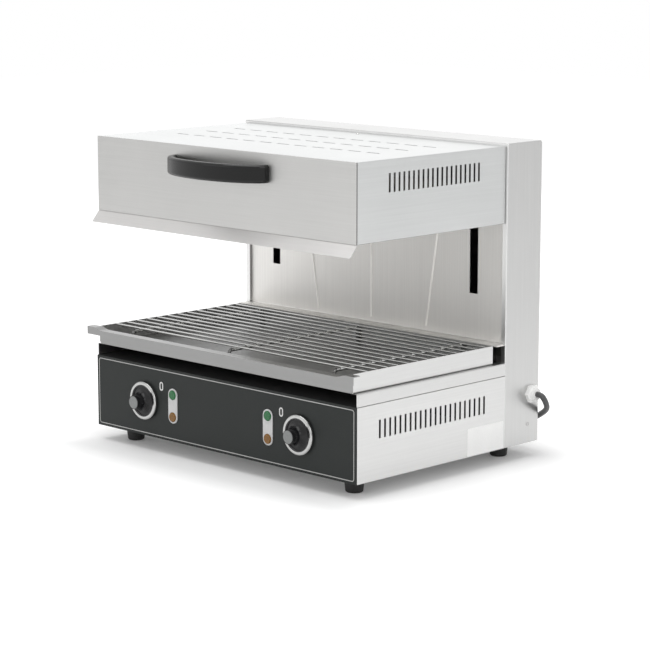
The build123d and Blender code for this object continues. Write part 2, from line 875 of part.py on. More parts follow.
def bent_below(box, radius):
    # A box whose lower edges are rounded at both sides and at the back
    low_edges = box.faces().sort_by(Axis.Z)[0].edges()
    front_edge_line = low_edges.sort_by(Axis.Y)[0]
    return fillet([edge for edge in low_edges if edge != front_edge_line], radius)


def make_drip_tray():
    w = tray_half_width
    wall_y = front + sheet
    rear = front + tray_length
    outside = block(-w, w, wall_y, rear, tray_low, tray_top)
    inside = block(sheet - w, w - sheet, wall_y, rear - sheet, tray_floor, tray_top + overrun)
    pan = bent_below(outside, bend_radius) - bent_below(inside, bend_radius - sheet)
    # The front wall and the lip share one dipped top edge
    pan += along_y(scooped_face(w, tray_low, 0), front, wall_y)
    lip_front = front - tray_lip_forward
    lip_low = tray_top - tray_lip_height
    solid_lip = along_y(scooped_face(tray_lip_half_width, lip_low, 0), lip_front, front)
    hollow_face = scooped_face(tray_lip_half_width + overrun, lip_low - overrun, sheet)
    pan += solid_lip - along_y(hollow_face, lip_front + sheet, front)
    for side in (-1, 1):
        notch = Pos(side * w, tray_low) * Circle(tray_notch_radius)
        pan -= along_y(notch, front - overrun, wall_y)
    return [pan]


def make_rack_rods():
    rod_half = tray_half_width - sheet - rack_side_gap
    ys = [front + rack_first + i * rack_rod_pitch for i in range(rack_rod_count)]
    return [round_bar(rack_rod_radius, (-rod_half, y, rack_rod_z), (rod_half, y, rack_rod_z)) for y in ys]


def make_rack_bars():
    y_low = front + rack_leg_front + rack_leg_bend
    y_high = front + rack_leg_back - rack_leg_bend
    xs = (-rack_bar_offset, 0, rack_bar_offset)
    return [round_bar(rack_bar_radius, (x, y_low, rack_bar_z), (x, y_high, rack_bar_z)) for x in xs]


def make_rack_feet():
    # Bent wire feet, welded to both ends of each bar
    foot, top = tray_floor + running_gap, rack_bar_z - rack_leg_bend
    feet = []
    for x in (-rack_bar_offset, 0, rack_bar_offset):
        for y, turn in ((front + rack_leg_front, 1), (front + rack_leg_back, -1)):
            leg = round_bar(rack_bar_radius, (x, y, foot), (x, y, top))
            end = Plane(origin=(x, y, top), z_dir=(0, 0, 1)) * Circle(rack_bar_radius)
            bend = revolve(end, Axis((x, y + turn * rack_leg_bend, top), (-turn, 0, 0)), 90)
            feet.append(leg + bend)
    return feet


def make_gland():
    y, z = back - gland_back, base_low + gland_height
    hexagon = Pos(y, z) * RegularPolygon(gland_hex / 2, 6, major_radius=False)
    nut = along_x(hexagon, half, half + gland_hex_depth)
    cap_low = half + gland_hex_depth
    cap_high = cap_low + gland_cap_depth
    cap = Plane(origin=(cap_low, y, z), z_dir=(1, 0, 0)) * Circle(gland_cap_radius + gland_cap_flare)
    mouth = Plane(origin=(cap_high, y, z), z_dir=(1, 0, 0)) * Circle(gland_cap_radius)
    gland = nut + loft([cap, mouth])
    gland += along_x(Pos(y, z) * Circle(gland_thread_radius), inner_half - gland_thread_depth, half)
    return [gland]


def tube_radii(points):
    # Each bend is as large as its two runs allow
    radii = []
    for before, corner, after in zip(points, points[1:], points[2:]):
        run_in = Vector(*corner) - Vector(*before)
        run_out = Vector(*after) - Vector(*corner)
        turn = math.radians(run_in.get_angle(run_out))
        radii.append(cord_bend_share * min(run_in.length, run_out.length) / math.tan(turn / 2))
    return radii


def make_cord():
    radii = tube_radii(cord_points)
    print("cord bend radii", [round(r, 1) for r in radii])
    path = FilletPolyline(*cord_points, radius=radii)
    tube = sweep(Plane(origin=path @ 0, z_dir=path % 0) * Circle(cord_radius), path=path)
    ideal = math.pi * cord_radius ** 2 * path.length
    print("cord length", round(path.length, 1), "volume share", round(tube.volume / ideal, 4))
    return [tube]


def coil_radius(turns):
    return coil_inner_radius + coil_pitch * abs(turns - coil_turns / 2)


def coil_centre():
    end = cord_points[-1]
    return (end[0], end[1] + coil_radius(0))


def coil_point(turns):
    # Down one layer, in towards the middle, up a layer, and out again
    x, y = coil_centre()
    angle = -math.pi / 2 - 2 * math.pi * turns
    climb = (turns - coil_turns / 2) / coil_climb_turns_share + 0.5
    climb = min(max(climb, 0), 1)
    rise = coil_pitch * (1 - math.cos(math.pi * climb)) / 2
    radius = coil_radius(turns)
    return Vector(x + radius * math.cos(angle), y + radius * math.sin(angle), cord_points[-1][2] + rise)


def coil_heading(turns):
    low, high = max(turns - coil_step_share, 0), min(turns + coil_step_share, coil_turns)
    heading = coil_point(high) - coil_point(low)
    if turns in (0, coil_turns):
        heading = Vector(-1, 0, 0)
    return heading.normalized()


def biarc(start, start_heading, end, end_heading):
    # Two arcs that meet smoothly between two points with given headings
    chord = end - start
    both = start_heading + end_heading
    a = 2 * (1 - start_heading.dot(end_heading))
    b = 2 * chord.dot(both)
    c = -chord.dot(chord)
    if abs(a) < parallel_share:
        reach = -c / b
    else:
        reach = (-b + math.sqrt(b * b - 4 * a * c)) / (2 * a)
    joint = (start + start_heading * reach + end - end_heading * reach) / 2
    first = TangentArc(start, joint, tangent=start_heading)
    return [first, TangentArc(joint, end, tangent=first % 1)]


def coil_gap(path):
    # Least gap of the wound tube to itself, measured on points along it
    step = path.length / coil_samples
    points = [path @ (i / coil_samples) for i in range(coil_samples + 1)]
    skip = int(coil_skip_share * 2 * math.pi * coil_inner_radius / step)
    pairs = ((near, far) for i, near in enumerate(points) for far in points[i + skip:])
    least = min((far - near).length for near, far in pairs)
    return least - 2 * cord_radius


def make_coil():
    stops = [i / coil_arcs_per_turn for i in range(coil_arcs_per_turn * coil_turns + 1)]
    shift = Vector(-2 * cord_radius, 0, 0)
    edges = [Line(Vector(*cord_points[-1]), coil_point(0) + shift)]
    for near, far in zip(stops, stops[1:]):
        start, end = coil_point(near) + shift, coil_point(far) + shift
        edges += biarc(start, coil_heading(near), end, coil_heading(far))
    end = coil_point(coil_turns) + shift
    edges.append(Line(end, end + Vector(-coil_tail, 0, 0)))
    path = Wire(edges)
    print("coil length", round(path.length, 1), "least gap to itself", round(coil_gap(path), 2))
    tube = sweep(Plane(origin=path @ 0, z_dir=path % 0) * Circle(cord_radius), path=path)
    ideal = math.pi * cord_radius ** 2 * path.length
    print("coil volume share", round(tube.volume / ideal, 4))
    return [tube]


def make_tie():
    # A band round the wound turns, on the side away from the column
    x, y = coil_centre()
    x -= 2 * cord_radius
    inner = coil_radius(coil_turns / 2) - cord_radius - tie_gap
    outer = coil_radius(0) + cord_radius + tie_gap
    low = cord_points[-1][2] - cord_radius - tie_gap
    high = low + coil_pitch + 2 * cord_radius + 2 * tie_gap
    band = outline((y + inner, low), (y + outer, low), (y + outer, high), (y + inner, high))
    ring = offset(band, tie_thickness) - band
    return [along_x(ring, x - tie_width / 2, x + tie_width / 2)]


def plug_start():
    return coil_point(coil_turns) + Vector(-2 * cord_radius - coil_tail, 0, 0)


def make_plug():
    start = plug_start()
    height = 2 * start.Z
    body_x = start.X - plug_relief_length
    body = block(body_x - plug_length, body_x, start.Y - plug_width / 2, start.Y + plug_width / 2, 0, height)
    body = fillet(body.edges().filter_by(Axis.X), plug_round)
    wide = Plane(origin=(body_x, start.Y, start.Z), z_dir=(1, 0, 0)) * Circle(plug_relief_radius)
    slim = Plane(origin=start, z_dir=(1, 0, 0)) * Circle(cord_radius + plug_relief_wall)
    return [body + loft([wide, slim])]


def make_plug_pins():
    start = plug_start()
    base_x = start.X - plug_relief_length - plug_length
    pins = []
    for side in (-1, 1):
        y = start.Y + side * plug_pin_spacing / 2
        pins.append(round_bar(plug_pin_radius, (base_x, y, start.Z), (base_x - plug_pin_length, y, start.Z)))
    return pins


def build():
    side_right, side_left = both_sides(make_base_side())
    element_right, element_left = both_sides(make_element())
    nodes = {
        "feet": make_feet(),
        "base_floor": make_base_floor(),
        "base_side_left": [side_left],
        "base_side_right": [side_right],
        "tray_deck": make_tray_deck(),
        "front_panel": make_front_panel(),
        "lamp_plates": make_lamp_plates(),
        "green_lamps": make_lamps(green_rise),
        "amber_lamps": make_lamps(amber_rise),
        "terminal_block": make_terminal_block(),
        "column_shell": make_column_shell(),
        "column_cover": make_column_cover(),
        "back_wall": make_back_wall(),
        "low_beam": make_low_beam(),
        "top_beam": make_top_beam(),
        "guide_rods": make_guide_rods(),
        "pulley_axles": make_axles(),
        "counterweight": make_counterweight(),
        "weight_guides": make_weight_guides(),
        "carriage": make_carriage(),
        "carriage_bushes": make_bushes(),
        "hood_arms": make_arms(),
        "hood_shell": make_hood_shell(),
        "hood_front": make_hood_front(),
        "hood_rear": make_hood_rear(),
        "visor": make_visor(),
        "reflector": make_reflector(),
        "insulation": make_insulation(),
        "element_left": [element_left],
        "element_right": [element_right],
        "element_supports": make_supports(),
        "handle": make_handle(),
        "drip_tray": make_drip_tray(),
        "rack_rods": make_rack_rods(),
        "rack_bars": make_rack_bars(),
        "rack_feet": make_rack_feet(),
        "cord_gland": make_gland(),
        "power_cord": make_cord(),
        "cord_coil": make_coil(),
        "cord_tie": make_tie(),
        "plug_body": make_plug(),
        "plug_pins": make_plug_pins(),
    }
    for name, side in (("left", -1), ("right", 1)):
        nodes["knob_ring_" + name] = [make_knob_ring(side)]
        nodes["knob_grip_" + name] = [make_knob_grip(side)]
        nodes["knob_cap_" + name] = [make_knob_cap(side)]
        nodes["knob_shaft_" + name] = [make_shaft(side)]
        nodes["thermostat_" + name] = [make_thermostat(side)]
        nodes["pulley_" + name] = [make_pulley(side)]
        nodes["rope_" + name] = [make_rope(side)]
    return nodes


os.makedirs("parts", exist_ok=True)
for node, solids in build().items():
    shape = solids[0] if len(solids) == 1 else Compound(children=list(solids))
    export_step(shape, os.path.join("parts", node + ".step"))
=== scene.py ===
import json
import math

import bmesh
import bpy
from mathutils import Matrix, Vector


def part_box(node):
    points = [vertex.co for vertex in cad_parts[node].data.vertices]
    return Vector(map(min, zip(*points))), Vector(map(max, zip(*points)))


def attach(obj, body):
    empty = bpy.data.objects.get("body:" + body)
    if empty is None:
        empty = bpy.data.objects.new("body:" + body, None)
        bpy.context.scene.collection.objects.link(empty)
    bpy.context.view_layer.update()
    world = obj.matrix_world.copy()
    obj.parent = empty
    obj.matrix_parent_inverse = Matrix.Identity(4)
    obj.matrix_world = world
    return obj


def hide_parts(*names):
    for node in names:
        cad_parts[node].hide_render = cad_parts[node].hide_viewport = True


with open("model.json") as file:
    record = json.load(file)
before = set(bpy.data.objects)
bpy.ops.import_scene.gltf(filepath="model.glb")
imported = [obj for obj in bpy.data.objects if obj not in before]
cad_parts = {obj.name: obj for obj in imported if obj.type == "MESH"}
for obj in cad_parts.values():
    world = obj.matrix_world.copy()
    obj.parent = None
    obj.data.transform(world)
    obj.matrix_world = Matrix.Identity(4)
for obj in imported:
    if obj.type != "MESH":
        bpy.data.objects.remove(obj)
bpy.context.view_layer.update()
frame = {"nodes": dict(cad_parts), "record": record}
nodes = frame["nodes"]
scene = bpy.context.scene
mm = 0.001
print("frame loaded,", len(nodes), "nodes")

# camera
cameraView = {
    "lens": 128.0,  # mm, on the sensor below
    "sensor": 36.0,
    "place": (2.54814, -2.53323, 0.84414),  # m
    "down": 10.156,  # degrees below the horizon
    "round": 44.675,  # degrees round the grill, to its right
}
cameraData = bpy.data.cameras.new("photoCamera")
cameraData.lens = cameraView["lens"]
cameraData.sensor_width = cameraView["sensor"]
cameraObject = bpy.data.objects.new("photoCamera", cameraData)
cameraObject.location = cameraView["place"]
cameraObject.rotation_euler = (math.radians(90 - cameraView["down"]), 0, math.radians(cameraView["round"]))
scene.collection.objects.link(cameraObject)
scene.camera = cameraObject
print("camera set")

# mains lead
lead = {
    "diameter": 9.0,  # mm, as all sizes here but the length
    "route": [  # out of the gland, down behind the column, to the floor
        (302, 208.7, 102), (309.5, 208.7, 102), (313.5, 211, 97.5), (313.5, 218, 87.5), (307, 228, 77),
        (291, 238, 67), (265.5, 247, 53), (236, 252.5, 37.5), (206, 254, 22), (178, 250.5, 10),
        (152, 247.5, 5.9), (128, 247.5, 5.9),
    ],
    "runIn": 9.0,  # from the route's end to the coil's first turn
    "turns": 4,
    "pointsPerTurn": 16,
    "innerRadius": 44.9,
    "pitch": 9.7,  # from one turn to the next, and between the two layers
    "climbTurns": 0.5,  # part of a turn that climbs to the second layer
    "plugRun": (0.1, 0.4, 0.7, 1),  # points on the way from the coil to the plug, as shares of it
    "ringSteps": 6,  # how finely the lead is rounded
    "runSteps": 8,  # and how finely it bends between points
    "length": 1.68,  # m, what such a grill has
}


def coilPoints():
    startX, startY, startZ = lead["route"][-1]
    pitch = lead["pitch"]
    middle = lead["turns"] / 2
    centreX = startX - lead["runIn"]
    centreY = startY + lead["innerRadius"] + pitch * middle
    bulge = math.cos(math.pi / lead["pointsPerTurn"])  # control points lie outside their curve
    points = []
    for i in range(1, lead["turns"] * lead["pointsPerTurn"]):
        t = i / lead["pointsPerTurn"]
        radius = (lead["innerRadius"] + pitch * abs(t - middle)) / bulge
        angle = -math.pi / 2 - 2 * math.pi * t
        climb = min(max((t - middle) / lead["climbTurns"] + 0.5, 0), 1)  # from 0 to 1 about the middle
        z = startZ + pitch * (1 - math.cos(math.pi * climb)) / 2
        points.append((centreX + radius * math.cos(angle), centreY + radius * math.sin(angle), z))
    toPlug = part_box("plug_body")[1].x / mm - centreX
    points += [(centreX + share * toPlug, startY, startZ + pitch) for share in lead["plugRun"]]
    return points


leadCurve = bpy.data.curves.new("mainsLead", "CURVE")
leadCurve.dimensions = "3D"
leadCurve.bevel_depth = 1.0  # each point's radius gives the thickness
leadCurve.bevel_resolution = lead["ringSteps"]
leadCurve.resolution_u = lead["runSteps"]
leadSpline = leadCurve.splines.new("NURBS")
leadPoints = lead["route"] + coilPoints()
leadSpline.points.add(len(leadPoints) - 1)
for leadPoint, place in zip(leadSpline.points, leadPoints):
    leadPoint.co = (*(v * mm for v in place), 1)
    leadPoint.radius = lead["diameter"] / 2 * mm
leadSpline.order_u = 3
leadSpline.use_endpoint_u = True
mainsLead = bpy.data.objects.new("mainsLead", leadCurve)
scene.collection.objects.link(mainsLead)
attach(mainsLead, "chassis")
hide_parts("power_cord", "cord_coil")
print("lead laid,", len(leadPoints), "points")


# node helpers
def newFinish(name, colour, metal=0.0, rough=0.5):
    finish = bpy.data.materials.new(name)
    finish.use_nodes = True
    finish.diffuse_color = (*colour, 1)
    shader = finish.node_tree.nodes["Principled BSDF"]
    shader.inputs["Base Color"].default_value = (*colour, 1)
    shader.inputs["Metallic"].default_value = metal
    shader.inputs["Roughness"].default_value = rough
    return finish, finish.node_tree, shader


def addNode(tree, kind, inputs=None, **settings):
    made = tree.nodes.new("ShaderNode" + kind)
    for key, value in settings.items():
        setattr(made, key, value)
    for key, value in (inputs or {}).items():
        if isinstance(value, bpy.types.NodeSocket):
            tree.links.new(value, made.inputs[key])
        else:
            made.inputs[key].default_value = value
    return made


def maths(tree, operation, a, b=0.0):
    return addNode(tree, "Math", {0: a, 1: b}, operation=operation).outputs[0]


def vectorMaths(tree, operation, a, b=(0, 0, 0)):
    return addNode(tree, "VectorMath", {0: a, 1: b}, operation=operation).outputs


def tinted(tree, colour, shade):
    return addNode(tree, "VectorMath", {0: list(colour), "Scale": shade}, operation="SCALE").outputs[0]


def mixed(tree, factor, a, b, kind="FLOAT"):
    low, high, result = {"FLOAT": (2, 3, 0), "RGBA": (6, 7, 2)}[kind]  # sockets of the Mix node
    return addNode(tree, "Mix", {0: factor, low: a, high: b}, data_type=kind).outputs[result]


def objectPlace(tree):
    return addNode(tree, "TexCoord").outputs["Object"]


def noiseAt(tree, stretch, detail=3.0, rough=0.5):  # stretch in waves per metre along each axis
    mapping = addNode(tree, "Mapping", {"Vector": objectPlace(tree), "Scale": stretch})
    noise = addNode(tree, "TexNoise", {"Vector": mapping.outputs[0], "Scale": 1.0, "Detail": detail,
                                       "Roughness": rough})
    return noise.outputs["Fac"]


def spread(tree, value, low, high, fromLow=0.3, fromHigh=0.7):  # most of a noise lies from 0.3 to 0.7
    ranged = addNode(tree, "MapRange", {"Value": value, "From Min": fromLow, "From Max": fromHigh,
                                        "To Min": low, "To Max": high})
    return ranged.outputs[0]


def swing(tree, noise, middle, reach):  # a noise that goes from middle - reach to middle + reach
    return spread(tree, noise, middle - reach, middle + reach)


def insideBox(tree, low, high):  # 1 within the box, 0 outside
    centre = [(a + b) / 2 for a, b in zip(low, high)]
    half = [(b - a) / 2 for a, b in zip(low, high)]
    offset = vectorMaths(tree, "SUBTRACT", objectPlace(tree), centre)[0]
    offset = vectorMaths(tree, "ABSOLUTE", offset)[0]
    offset = vectorMaths(tree, "SUBTRACT", offset, half)[0]
    axes = addNode(tree, "SeparateXYZ", {0: offset}).outputs
    furthest = maths(tree, "MAXIMUM", axes[0], maths(tree, "MAXIMUM", axes[1], axes[2]))
    return maths(tree, "LESS_THAN", furthest, 0.0)


def bumped(tree, shader, height, distance, strength):
    bump = addNode(tree, "Bump", {"Height": height, "Distance": distance, "Strength": strength})
    tree.links.new(bump.outputs[0], shader.inputs["Normal"])


# brushed steel
outOfLight = 0  # a box's tone where no light comes in
steelLook = {
    "colour": (0.60, 0.60, 0.595),
    "rough": (0.30, 0.38),  # along the grain's streaks
    "grain": 2600.0,  # streaks per metre, across the grain
    "stretch": 6.0,  # streaks per metre, along it
    "streakShade": 0.025,  # how far streaks change the colour
    "streakDepth": 0.00002,  # m
    "streakBump": 0.2,  # strength of their bump
    "band": 380.0,  # broader streaks per metre, across the grain
    "bandShade": 0.022,
    "smudge": 7.0,  # hand marks per metre
    "smudgeDetail": 4.0,
    "smudgeEdge": 0.6,  # how rough their edges are
    "smudgeShade": 0.02,
    "smudgeGloss": 0.03,  # how far they change the roughness
    "topFrom": 0.7,  # upward part of the normal from which a face counts as a top
    "dark": (0.012, 0.012, 0.012),  # colour of a box that is out of the light
    "darkRough": 0.7,
}


def brushLines(tree, grain, fine):  # fine in lines per metre
    long = steelLook["stretch"]
    if grain == "upright":
        return noiseAt(tree, (fine, fine, long))
    level = noiseAt(tree, (long, fine, long))  # on tops
    sides = noiseAt(tree, (long, long, fine))  # on walls
    normal = addNode(tree, "NewGeometry").outputs["Normal"]
    upward = addNode(tree, "SeparateXYZ", {0: normal}).outputs[2]
    facesUp = maths(tree, "GREATER_THAN", maths(tree, "ABSOLUTE", upward), steelLook["topFrom"])
    return mixed(tree, facesUp, sides, level)


# painted light: a piece's tone scales the steel's colour for the light it gets, and each box paints shade or
# a highlight into it
def brushedSteel(name, grain="across", tone=1.0, tinge=(1, 1, 1), matt=0.0, paintedLightBoxes=()):
    colour = [v * tone * part for v, part in zip(steelLook["colour"], tinge)]
    finish, tree, shader = newFinish(name, colour, metal=1.0, rough=steelLook["rough"][0])
    streaks = brushLines(tree, grain, steelLook["grain"])
    bands = brushLines(tree, grain, steelLook["band"])
    smudges = noiseAt(tree, [steelLook["smudge"]] * 3, steelLook["smudgeDetail"], steelLook["smudgeEdge"])
    gloss = spread(tree, streaks, *(v + matt for v in steelLook["rough"]))
    gloss = maths(tree, "ADD", gloss, swing(tree, smudges, 0, steelLook["smudgeGloss"]))
    shade = swing(tree, streaks, 1, steelLook["streakShade"])
    shade = maths(tree, "MULTIPLY", shade, swing(tree, smudges, 1, steelLook["smudgeShade"]))
    shade = maths(tree, "MULTIPLY", shade, swing(tree, bands, 1, steelLook["bandShade"]))
    tint = tinted(tree, colour, shade)
    # each box paints shade or a highlight into the colour; out of the light it paints a dark, rough
    # non-metal where there is only shade
    for box, boxPaintedTone in paintedLightBoxes:
        within = insideBox(tree, *box)
        boxPaintedColour = [v * boxPaintedTone for v in colour]
        if boxPaintedTone == outOfLight:
            boxPaintedColour = steelLook["dark"]
            gloss = maths(tree, "MAXIMUM", gloss, maths(tree, "MULTIPLY", within, steelLook["darkRough"]))
            tree.links.new(maths(tree, "SUBTRACT", 1.0, within), shader.inputs["Metallic"])
        tint = mixed(tree, within, tint, (*boxPaintedColour, 1), "RGBA")
    tree.links.new(tint, shader.inputs["Base Color"])
    tree.links.new(gloss, shader.inputs["Roughness"])
    bumped(tree, shader, streaks, steelLook["streakDepth"], steelLook["streakBump"])
    return finish


# finishes by the record's slot
plainLook = {
    "speckEdge": 0.6,  # how rough the fine grain's edges are
    "cloud": 18.0,  # soft patches per metre
    "cloudShade": 0.04,
    "cloudGloss": 0.04,  # how far they change the roughness
    "speckBump": 0.3,  # strength of the grain's bump
}


def plainFinish(name, colour, metal=0.0, rough=0.4, mottle=0.06, grain=400.0, bump=0.00003, shine=0.5):
    finish, tree, shader = newFinish(name, colour, metal, rough)
    speck = noiseAt(tree, [grain] * 3, rough=plainLook["speckEdge"])
    cloud = noiseAt(tree, [plainLook["cloud"]] * 3)
    shade = swing(tree, speck, 1, mottle)
    shade = maths(tree, "MULTIPLY", shade, swing(tree, cloud, 1, plainLook["cloudShade"]))
    tree.links.new(tinted(tree, colour, shade), shader.inputs["Base Color"])
    tree.links.new(swing(tree, cloud, rough, plainLook["cloudGloss"]), shader.inputs["Roughness"])
    shader.inputs["Specular IOR Level"].default_value = shine
    bumped(tree, shader, speck, bump, plainLook["speckBump"])
    return finish


plainSlots = {  # grain per metre, bump in m
    "panel_black": {"colour": (0.020, 0.023, 0.022), "rough": 0.4, "bump": 0.00002, "shine": 0.2},
    "knob_black": {"colour": (0.010, 0.010, 0.011), "rough": 0.22, "bump": 0.00001, "shine": 0.3},
    "knob_silver": {"colour": (0.20, 0.205, 0.203), "metal": 1.0, "rough": 0.34, "mottle": 0.08},
    "lamp_white": {"colour": (0.60, 0.60, 0.60), "rough": 0.3, "mottle": 0.02},
    "handle_black": {"colour": (0.005, 0.005, 0.005), "rough": 0.15, "shine": 0.32},
    "foot_rubber": {"colour": (0.012, 0.012, 0.012), "rough": 0.62},
    "control_plastic": {"colour": (0.07, 0.07, 0.075), "rough": 0.5},
    "block_plastic": {"colour": (0.72, 0.70, 0.62), "rough": 0.3},
    "reflector_sheet": {"colour": (0.62, 0.62, 0.60), "metal": 1.0, "rough": 0.34, "grain": 60.0},
    "wool": {"colour": (0.72, 0.68, 0.60), "rough": 0.95, "mottle": 0.2, "bump": 0.0006},
    "element_steel": {"colour": (0.10, 0.097, 0.092), "metal": 0.8, "rough": 0.5, "mottle": 0.12},
    "inner_steel": {"colour": (0.42, 0.42, 0.41), "metal": 1.0, "rough": 0.42},
    "bright_bar": {"colour": (0.66, 0.66, 0.65), "metal": 1.0, "rough": 0.16, "mottle": 0.02},
    "iron": {"colour": (0.09, 0.09, 0.088), "metal": 0.6, "rough": 0.6, "mottle": 0.15, "bump": 0.0003},
    "bronze": {"colour": (0.50, 0.32, 0.15), "metal": 1.0, "rough": 0.35},
    "pulley_nylon": {"colour": (0.70, 0.69, 0.64), "rough": 0.4},
    "rope_wire": {"colour": (0.42, 0.43, 0.44), "metal": 1.0, "rough": 0.35, "mottle": 0.2, "grain": 1500.0},
    "rack_chrome": {"colour": (0.62, 0.62, 0.61), "metal": 1.0, "rough": 0.2, "mottle": 0.03},
    "gland_nylon": {"colour": (0.92, 0.92, 0.91), "rough": 0.4, "mottle": 0.02},
    "cord_rubber": {"colour": (0.075, 0.076, 0.078), "rough": 0.45},
    "plug_rubber": {"colour": (0.02, 0.02, 0.021), "rough": 0.45},
    "pin_brass": {"colour": (0.60, 0.55, 0.42), "metal": 1.0, "rough": 0.25, "mottle": 0.03},
    "tie_plastic": {"colour": (0.03, 0.03, 0.03), "rough": 0.4},
}
slotFinish = {"stainless": brushedSteel("stainless")}
for slot, look in plainSlots.items():
    first, *rest = slot.split("_")
    slotFinish[slot] = plainFinish(first + "".join(word.capitalize() for word in rest), **look)

lens = {
    "green": (0.018, 0.175, 0.052),
    "amber": (0.25, 0.108, 0.009),
    "rough": 0.16,
    "through": 0.2,  # how much light passes
    "coat": 0.1,
    "shine": 0.3,
    "facets": 900.0,  # per metre
    "facetDetail": 1.0,
    "facetShade": (0.75, 1.2),
}


def lampLens(name, colour):
    finish, tree, shader = newFinish(name, colour, rough=lens["rough"])
    shader.inputs["Transmission Weight"].default_value = lens["through"]
    shader.inputs["Coat Weight"].default_value = lens["coat"]
    shader.inputs["Specular IOR Level"].default_value = lens["shine"]
    facets = noiseAt(tree, [lens["facets"]] * 3, lens["facetDetail"])
    shade = spread(tree, facets, *lens["facetShade"])
    tree.links.new(tinted(tree, colour, shade), shader.inputs["Base Color"])
    return finish


slotFinish["lens_green"] = lampLens("lensGreen", lens["green"])
slotFinish["lens_amber"] = lampLens("lensAmber", lens["amber"])

# finishes of single nodes, where they differ from their slot's
nodeFinish = {}
knobRing = {
    "chrome": (0.44, 0.44, 0.435),
    "dish": (0.02, 0.02, 0.021),
    "brightFrom": 25.6,  # mm from the axis
    "rough": 0.14,
    "speck": 400.0,  # per metre
    "speckShade": 0.02,
}


def ringChrome(side):  # bright outside, black where the dish begins
    finish, tree, shader = newFinish("ringChrome_" + side, knobRing["chrome"], 1.0, knobRing["rough"])
    low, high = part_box("knob_ring_" + side)
    offset = vectorMaths(tree, "SUBTRACT", objectPlace(tree), (low + high) / 2)[0]
    offset = vectorMaths(tree, "MULTIPLY", offset, (1, 0, 1))[0]  # the axis lies along y
    fromAxis = vectorMaths(tree, "LENGTH", offset)["Value"]
    bright = maths(tree, "GREATER_THAN", fromAxis, knobRing["brightFrom"] * mm)
    speck = noiseAt(tree, [knobRing["speck"]] * 3)
    shade = maths(tree, "MULTIPLY", bright, swing(tree, speck, 1, knobRing["speckShade"]))
    tint = mixed(tree, shade, (*knobRing["dish"], 1), (*knobRing["chrome"], 1), "RGBA")
    tree.links.new(tint, shader.inputs["Base Color"])
    tree.links.new(bright, shader.inputs["Metallic"])
    return finish


for side in ("left", "right"):
    nodeFinish["knob_ring_" + side] = ringChrome(side)
nodeFinish["rack_feet"] = plainFinish("rackFootSteel", (0.16, 0.16, 0.155), metal=1.0, rough=0.45)

panelLow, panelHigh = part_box("front_panel")
deckLow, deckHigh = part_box("tray_deck")
baseLow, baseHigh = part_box("base_side_right")
columnLow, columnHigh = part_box("column_shell")
wallLow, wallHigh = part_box("back_wall")
trayLow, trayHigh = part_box("drip_tray")
visorLow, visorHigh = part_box("visor")
faceLow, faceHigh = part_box("hood_front")
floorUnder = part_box("base_floor")[0].z
panelFront = panelLow.y
shadeEdge = {  # mm, where the boxes of painted light and shade below begin and end
    "skin": 1.25,  # just over the sheet's thickness
    "deck": 0.1,  # inside the deck's top and bottom
    "lipReach": 12.0,  # of the column's left lip, from its outside
    "faceEnd": 0.05,  # inside the end of the hood's face
    "faceBend": 0.375,  # behind the front of the hood's face
    "beadProud": 2.5,  # more than a bead stands out of the wall
    "beadClear": 0.2,  # in front of the wall's own face
    "beadLow": 6.0,  # over the wall's ledge
}
skin = shadeEdge["skin"] * mm
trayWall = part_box("rack_rods")[1].x + skin  # just inside the tray's side walls
lipEnd = columnLow.x + shadeEdge["lipReach"] * mm
wallFace = wallHigh.y - skin

# painted shade: the insides of the deck, the base and the column are painted dark, as out of the light
inDeck = ((deckLow.x + skin, deckLow.y - skin, deckLow.z + shadeEdge["deck"] * mm),
          (deckHigh.x - skin, deckHigh.y + skin, deckHigh.z - shadeEdge["deck"] * mm))
inBase = ((-baseHigh.x + skin, baseLow.y + skin, floorUnder - skin),
          (baseHigh.x - skin, baseHigh.y + skin, baseHigh.z))
inColumn = ((columnLow.x + skin, wallHigh.y, columnLow.z),
            (columnHigh.x - skin, columnHigh.y, columnHigh.z - skin))
# painted highlight: the column's front return and its left lip are painted lighter than the light they get
frontReturn = ((columnLow.x - skin, columnLow.y - skin, columnLow.z),
               (columnHigh.x + skin, columnLow.y + skin / 2, columnHigh.z - skin))
leftLip = ((columnLow.x + skin, columnLow.y + skin / 2, columnLow.z),
           (lipEnd, wallLow.y, columnHigh.z))
# painted highlight: the crests of the wall's beads are painted lighter, as if they caught the light
onBeads = ((wallLow.x, wallFace - shadeEdge["beadProud"] * mm, wallLow.z + shadeEdge["beadLow"] * mm),
           (wallHigh.x, wallFace - shadeEdge["beadClear"] * mm, wallHigh.z))
# painted shade: the drip tray's inside and its front face are painted darker
inTray = ((-trayWall, panelFront + skin, trayLow.z + skin / 2),
          (trayWall, trayHigh.y - skin, trayHigh.z + skin))
trayLip = ((trayLow.x - skin, trayLow.y - skin, trayLow.z - skin),
           (trayHigh.x + skin, panelFront + skin / 2, trayHigh.z + skin))
# painted shade: dark lines at the end of the hood's face and along the visor's top, where their gaps lie in
# shade
faceEdge = ((faceHigh.x - shadeEdge["faceEnd"] * mm, faceLow.y + shadeEdge["faceBend"] * mm, faceLow.z),
            (faceHigh.x + skin, faceHigh.y + skin, faceHigh.z))
visorSeam = ((visorLow.x - skin, visorLow.y - skin, visorHigh.z - skin),
             (visorHigh.x + skin, visorHigh.y + skin, visorHigh.z + skin))

